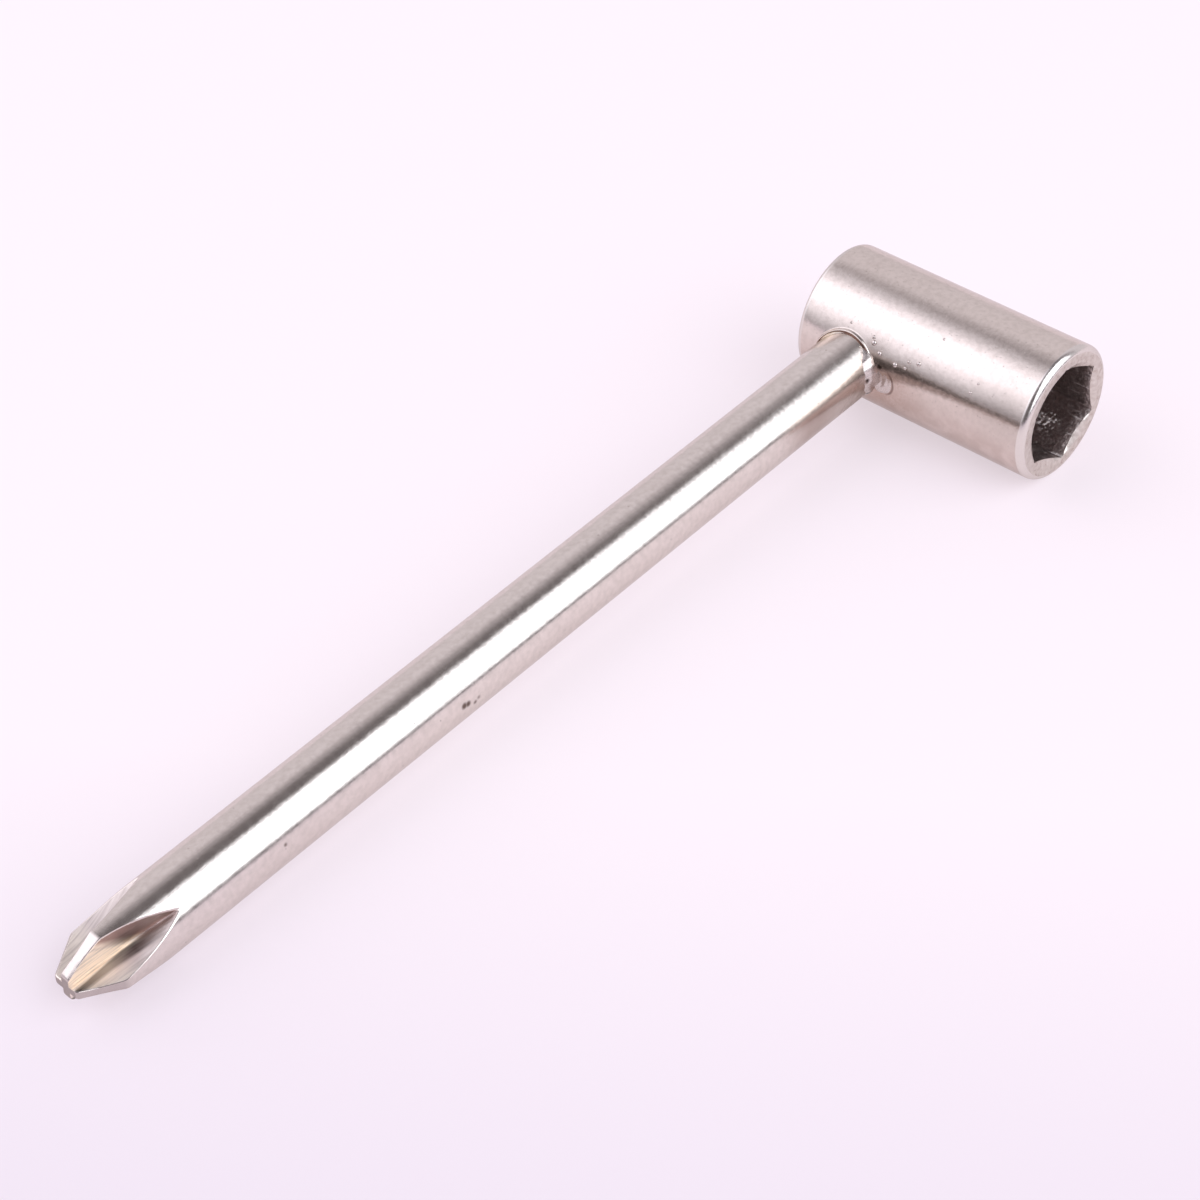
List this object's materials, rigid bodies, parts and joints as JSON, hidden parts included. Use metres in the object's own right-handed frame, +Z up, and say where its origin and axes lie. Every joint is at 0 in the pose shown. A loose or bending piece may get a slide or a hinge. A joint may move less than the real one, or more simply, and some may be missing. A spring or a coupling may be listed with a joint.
{
  "type": "truss rod wrench",
  "caption": "Angled hand wrench: a round barrel with a blind hex socket, and a round shank welded into its side that ends in a cross-point screwdriver tip.",
  "frame": {"origin": "on the surface that the wrench lies on, below the middle of its box", "axes": "+X along the shank towards the barrel, -Y out of the socket's mouth, +Z up"},
  "size_m": [0.0976, 0.0232, 0.012],
  "materials": {
    "barrel_nickel": "satin nickel plate over turned steel, finely pitted",
    "shank_nickel": "semi-bright nickel plate over drawn steel rod",
    "weld_metal": "nickel plate over rippled weld metal"
  },
  "bodies": {
    "root": {"socket_head": "barrel_nickel", "driver_shank": "shank_nickel", "weld_bead": "weld_metal"}
  },
  "joints": []
}
